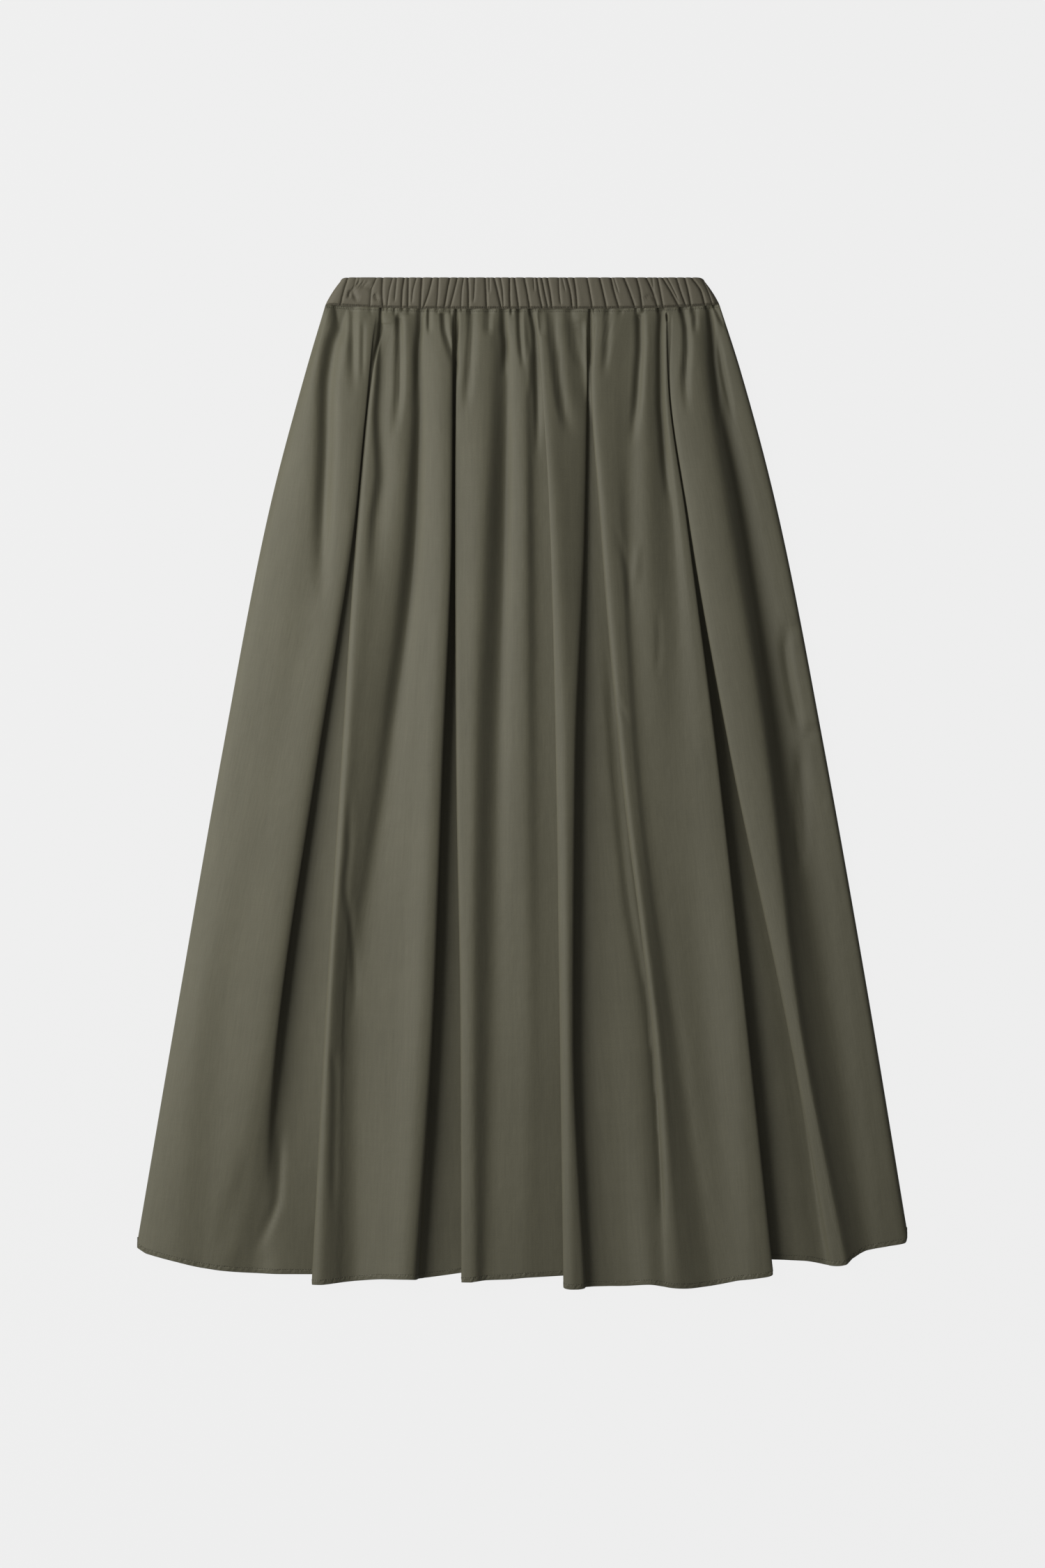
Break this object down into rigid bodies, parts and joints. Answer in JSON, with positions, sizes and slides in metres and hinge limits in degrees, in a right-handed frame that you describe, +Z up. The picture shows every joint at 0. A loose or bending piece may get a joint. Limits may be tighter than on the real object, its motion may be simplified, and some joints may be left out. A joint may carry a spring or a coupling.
{
  "type": "gathered a-line midi skirt",
  "caption": "A-line midi skirt with a gathered elastic waistband and a narrow turned hem, laid flat with its front up.",
  "frame": {"origin": "middle of the outline, on the surface that the skirt lies on", "axes": "+Y along the skirt towards the waist, +X across it to the right as its front is seen, +Z up out of the front"},
  "size_m": [0.6641, 0.8702, 0.0186],
  "materials": {
    "skirt_cloth": "fine plain-woven cotton, matte with a slight sheen",
    "band_cloth": "the same cotton, gathered over elastic"
  },
  "bodies": {
    "root": {"front_panel": "skirt_cloth", "back_panel": "skirt_cloth", "waistband_front": "band_cloth", "waistband_back": "band_cloth"}
  },
  "joints": []
}
